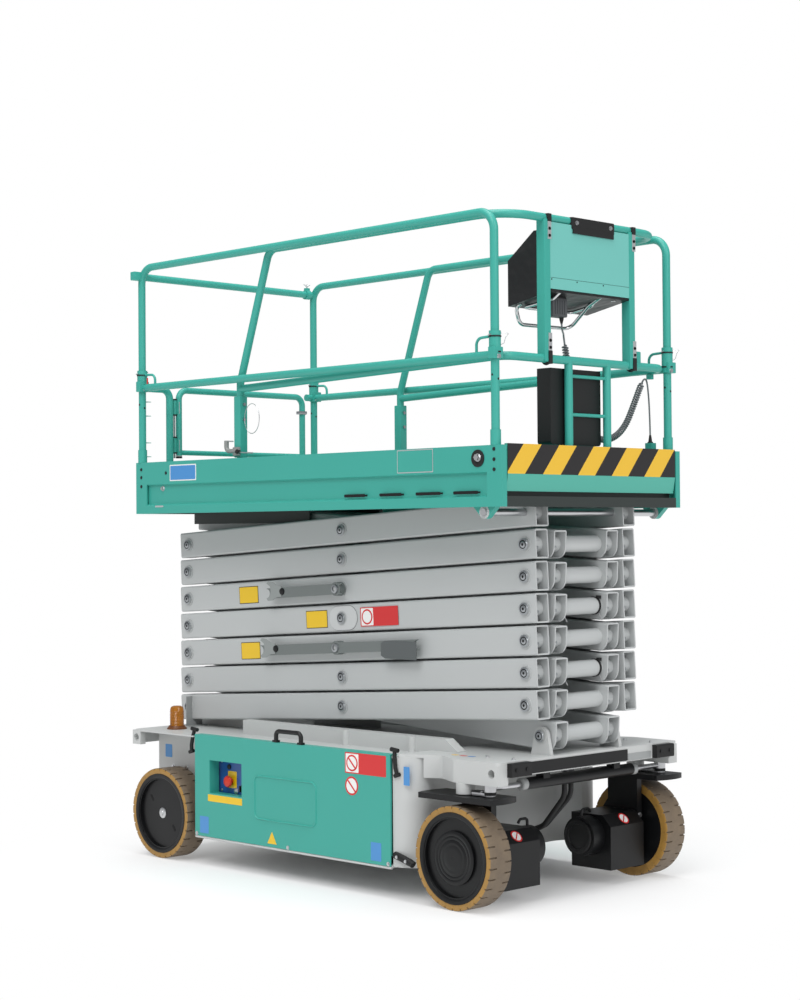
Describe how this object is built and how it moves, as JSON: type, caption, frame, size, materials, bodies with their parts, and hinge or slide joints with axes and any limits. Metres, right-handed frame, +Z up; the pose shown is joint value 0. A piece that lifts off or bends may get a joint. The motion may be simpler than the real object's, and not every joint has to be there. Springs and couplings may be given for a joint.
{
  "type": "self-propelled scissor lift",
  "caption": "Electric scissor lift on four wheels, with a seven-level scissor stack, a guarded platform and a sliding deck extension.",
  "frame": {"origin": "on the floor, midway between the axles and between the wheels", "axes": "+X forward towards the steered wheels, +Y left, +Z up"},
  "size_m": [2.32, 1.22, 2.74],
  "materials": {
    "amber": "clear moulded",
    "arm_grey": "satin enamel",
    "battery": "moulded",
    "black_paint": "satin enamel",
    "black_plastic": "moulded",
    "black_rubber": "moulded",
    "blue_panel": "moulded",
    "bright_steel": "ground and plated",
    "chassis_grey": "satin enamel",
    "cord_sheath": "extruded",
    "green_paint": "satin enamel",
    "hazard": "yellow and black stripes",
    "tread": "cast polyurethane"
  },
  "bodies": {
    "chassis": {"chassis_frame": "chassis_grey", "rear_fender": "chassis_grey", "wheel_housing": "chassis_grey", "deck_rails": "chassis_grey", "front_buffers": "black_rubber", "battery_blocks": "battery", "ground_controls": "blue_panel", "beacon": "amber", "steer_cylinder": "black_paint"},
    "slide_lower": {"slide_blocks_lower": "black_plastic"},
    "slide_upper": {"slide_blocks_upper": "black_plastic"},
    "lift_barrel_lower": {"lift_barrel_lower": "arm_grey"},
    "lift_barrel_upper": {"lift_barrel_upper": "arm_grey"},
    "lift_ram_lower": {"lift_ram_lower": "bright_steel"},
    "lift_ram_upper": {"lift_ram_upper": "bright_steel"},
    "cover_near": {"side_cover_near": "green_paint"},
    "cover_far": {"side_cover_far": "green_paint"},
    "steer_rod": {"steer_rod": "bright_steel"},
    "knuckle_near": {"knuckle_near": "black_paint", "drive_motor_near": "black_paint"},
    "knuckle_far": {"knuckle_far": "black_paint", "drive_motor_far": "black_paint"},
    "wheel_front_near": {"tyre_front_near": "tread", "hub_front_near": "black_paint"},
    "wheel_front_far": {"tyre_front_far": "tread", "hub_front_far": "black_paint"},
    "wheel_rear_near": {"tyre_rear_near": "tread", "hub_rear_near": "black_paint"},
    "wheel_rear_far": {"tyre_rear_far": "tread", "hub_rear_far": "black_paint"},
    "platform": {"platform_frame": "green_paint", "platform_sides": "green_paint", "pivot_rod": "bright_steel", "guard_rails": "green_paint"},
    "gate": {"gate": "green_paint"},
    "extension": {"extension_deck": "green_paint", "hazard_board": "hazard", "extension_rail": "green_paint", "control_box": "black_plastic", "document_box": "black_plastic", "cord_fittings": "black_plastic", "control_cord_lead": "cord_sheath", "control_cord_coil": "cord_sheath", "control_cord_tail": "cord_sheath"},
    "prop_upper": {"prop_upper": "arm_grey"},
    "prop_lower": {"prop_lower": "arm_grey"},
    "inner_1": {"inner_frame_1": "arm_grey"},
    "outer_1": {"outer_arms_1": "arm_grey"},
    "inner_2": {"inner_frame_2": "arm_grey"},
    "outer_2": {"outer_arms_2": "arm_grey"},
    "inner_3": {"inner_frame_3": "arm_grey"},
    "outer_3": {"outer_arms_3": "arm_grey"},
    "inner_4": {"inner_frame_4": "arm_grey"},
    "outer_4": {"outer_arms_4": "arm_grey"},
    "inner_5": {"inner_frame_5": "arm_grey"},
    "outer_5": {"outer_arms_5": "arm_grey"},
    "inner_6": {"inner_frame_6": "arm_grey"},
    "outer_6": {"outer_arms_6": "arm_grey"},
    "inner_7": {"inner_frame_7": "arm_grey"},
    "outer_7": {"outer_arms_7": "arm_grey"}
  },
  "joints": [
    {"name": "lift", "type": "hinge", "parent": "chassis", "child": "inner_1", "pos_m": [1.051, 0, 0.66], "axis": [0, 1, 0], "range_deg": [0, 45.2]},
    {"name": "cross_pin_1", "type": "hinge", "parent": "inner_1", "child": "outer_1", "pos_m": [-0.0161, 0, 0.72375], "axis": [0, 1, 0], "range_deg": [-90.9, 0.5]},
    {"name": "front_pin_2", "type": "hinge", "parent": "outer_1", "child": "inner_2", "pos_m": [1.051, 0, 0.7875], "axis": [0, 1, 0], "range_deg": [-0.5, 90.9]},
    {"name": "cross_pin_2", "type": "hinge", "parent": "inner_2", "child": "outer_2", "pos_m": [-0.0161, 0, 0.85125], "axis": [0, 1, 0], "range_deg": [-90.9, 0.5]},
    {"name": "front_pin_3", "type": "hinge", "parent": "outer_2", "child": "inner_3", "pos_m": [1.051, 0, 0.915], "axis": [0, 1, 0], "range_deg": [-0.5, 90.9]},
    {"name": "cross_pin_3", "type": "hinge", "parent": "inner_3", "child": "outer_3", "pos_m": [-0.0161, 0, 0.97875], "axis": [0, 1, 0], "range_deg": [-90.9, 0.5]},
    {"name": "front_pin_4", "type": "hinge", "parent": "outer_3", "child": "inner_4", "pos_m": [1.051, 0, 1.0425], "axis": [0, 1, 0], "range_deg": [-0.5, 90.9]},
    {"name": "cross_pin_4", "type": "hinge", "parent": "inner_4", "child": "outer_4", "pos_m": [-0.0161, 0, 1.10625], "axis": [0, 1, 0], "range_deg": [-90.9, 0.5]},
    {"name": "front_pin_5", "type": "hinge", "parent": "outer_4", "child": "inner_5", "pos_m": [1.051, 0, 1.17], "axis": [0, 1, 0], "range_deg": [-0.5, 90.9]},
    {"name": "cross_pin_5", "type": "hinge", "parent": "inner_5", "child": "outer_5", "pos_m": [-0.0161, 0, 1.23375], "axis": [0, 1, 0], "range_deg": [-90.9, 0.5]},
    {"name": "front_pin_6", "type": "hinge", "parent": "outer_5", "child": "inner_6", "pos_m": [1.051, 0, 1.2975], "axis": [0, 1, 0], "range_deg": [-0.5, 90.9]},
    {"name": "cross_pin_6", "type": "hinge", "parent": "inner_6", "child": "outer_6", "pos_m": [-0.0161, 0, 1.36125], "axis": [0, 1, 0], "range_deg": [-90.9, 0.5]},
    {"name": "front_pin_7", "type": "hinge", "parent": "outer_6", "child": "inner_7", "pos_m": [1.051, 0, 1.425], "axis": [0, 1, 0], "range_deg": [-0.5, 90.9]},
    {"name": "cross_pin_7", "type": "hinge", "parent": "inner_7", "child": "outer_7", "pos_m": [-0.0161, 0, 1.48875], "axis": [0, 1, 0], "range_deg": [-90.9, 0.5]},
    {"name": "platform_pin", "type": "hinge", "parent": "outer_7", "child": "platform", "pos_m": [1.051, 0, 1.5525], "axis": [0, 1, 0], "range_deg": [-0.5, 45.7]},
    {"name": "slide_lower_pin", "type": "hinge", "parent": "outer_1", "child": "slide_lower", "pos_m": [-1.08319, 0, 0.66], "axis": [0, 1, 0], "range_deg": [-0.5, 45.7]},
    {"name": "slide_upper_pin", "type": "hinge", "parent": "inner_7", "child": "slide_upper", "pos_m": [-1.08319, 0, 1.5525], "axis": [0, 1, 0], "range_deg": [-45.7, 0.5]},
    {"name": "lift_barrel_lower_pin", "type": "hinge", "parent": "inner_1", "child": "lift_barrel_lower", "pos_m": [-0.76307, 0, 0.76838], "axis": [0, 1, 0], "range_deg": [-104.09, 0.5]},
    {"name": "lift_stroke_lower", "type": "slide", "parent": "lift_barrel_lower", "child": "lift_ram_lower", "axis": [0.9939, 0, 0.1103], "range_m": [-0.001, 0.8071]},
    {"name": "lift_barrel_upper_pin", "type": "hinge", "parent": "inner_4", "child": "lift_barrel_upper", "pos_m": [-0.76307, 0, 1.15088], "axis": [0, 1, 0], "range_deg": [-104.09, 0.5]},
    {"name": "lift_stroke_upper", "type": "slide", "parent": "lift_barrel_upper", "child": "lift_ram_upper", "axis": [0.9939, 0, 0.1103], "range_m": [-0.001, 0.8071]},
    {"name": "steer_near", "type": "hinge", "parent": "chassis", "child": "knuckle_near", "pos_m": [0.927, -0.53, 0.44], "axis": [0, 0, 1], "range_deg": [-35, 35]},
    {"name": "steer_far", "type": "hinge", "parent": "chassis", "child": "knuckle_far", "pos_m": [0.927, 0.53, 0.44], "axis": [0, 0, 1], "range_deg": [-36, 36]},
    {"name": "steer_stroke", "type": "slide", "parent": "chassis", "child": "steer_rod", "axis": [0, 1, 0], "range_m": [-0.09, 0.09]},
    {"name": "roll_front_near", "type": "hinge", "parent": "knuckle_near", "child": "wheel_front_near", "pos_m": [0.927, -0.5485, 0.204], "axis": [0, 1, 0], "continuous": true},
    {"name": "roll_rear_near", "type": "hinge", "parent": "chassis", "child": "wheel_rear_near", "pos_m": [-0.927, -0.5485, 0.204], "axis": [0, 1, 0], "continuous": true},
    {"name": "roll_front_far", "type": "hinge", "parent": "knuckle_far", "child": "wheel_front_far", "pos_m": [0.927, 0.5485, 0.204], "axis": [0, 1, 0], "continuous": true},
    {"name": "roll_rear_far", "type": "hinge", "parent": "chassis", "child": "wheel_rear_far", "pos_m": [-0.927, 0.5485, 0.204], "axis": [0, 1, 0], "continuous": true},
    {"name": "cover_near_hinge", "type": "hinge", "parent": "chassis", "child": "cover_near", "pos_m": [0, -0.59, 0.124], "axis": [1, 0, 0], "range_deg": [0, 90]},
    {"name": "cover_far_hinge", "type": "hinge", "parent": "chassis", "child": "cover_far", "pos_m": [0, 0.59, 0.124], "axis": [-1, 0, 0], "range_deg": [0, 90]},
    {"name": "gate_hinge", "type": "hinge", "parent": "platform", "child": "gate", "pos_m": [-1.133, -0.352, 2], "axis": [0, 0, -1], "range_deg": [0, 90]},
    {"name": "deck_slide", "type": "slide", "parent": "platform", "child": "extension", "axis": [1, 0, 0], "range_m": [0, 0.9]},
    {"name": "prop_upper_hinge", "type": "hinge", "parent": "outer_5", "child": "prop_upper", "pos_m": [-0.0161, -0.33, 1.23375], "axis": [0, -1, 0], "range_deg": [0, 22]},
    {"name": "prop_lower_hinge", "type": "hinge", "parent": "outer_3", "child": "prop_lower", "pos_m": [-0.0161, -0.33, 0.97875], "axis": [0, -1, 0], "range_deg": [0, 35]}
  ],
  "couplings": [
    {"joint": "cross_pin_1", "follows": "lift", "ratio": -2},
    {"joint": "front_pin_2", "follows": "lift", "ratio": 2},
    {"joint": "cross_pin_2", "follows": "lift", "ratio": -2},
    {"joint": "front_pin_3", "follows": "lift", "ratio": 2},
    {"joint": "cross_pin_3", "follows": "lift", "ratio": -2},
    {"joint": "front_pin_4", "follows": "lift", "ratio": 2},
    {"joint": "cross_pin_4", "follows": "lift", "ratio": -2},
    {"joint": "front_pin_5", "follows": "lift", "ratio": 2},
    {"joint": "cross_pin_5", "follows": "lift", "ratio": -2},
    {"joint": "front_pin_6", "follows": "lift", "ratio": 2},
    {"joint": "cross_pin_6", "follows": "lift", "ratio": -2},
    {"joint": "front_pin_7", "follows": "lift", "ratio": 2},
    {"joint": "cross_pin_7", "follows": "lift", "ratio": -2},
    {"joint": "platform_pin", "follows": "lift", "ratio": 1},
    {"joint": "slide_lower_pin", "follows": "lift", "ratio": 1},
    {"joint": "slide_upper_pin", "follows": "lift", "ratio": -1},
    {"joint": "lift_barrel_lower_pin", "follows": "lift", "ratio": -2.2896},
    {"joint": "lift_stroke_lower", "follows": "lift", "m_per_rad": 1.0206},
    {"joint": "lift_barrel_upper_pin", "follows": "lift", "ratio": -2.2896},
    {"joint": "lift_stroke_upper", "follows": "lift", "m_per_rad": 1.0206},
    {"joint": "steer_far", "follows": "steer_near", "ratio": 1},
    {"joint": "steer_stroke", "follows": "steer_near", "m_per_rad": 0.122}
  ]
}
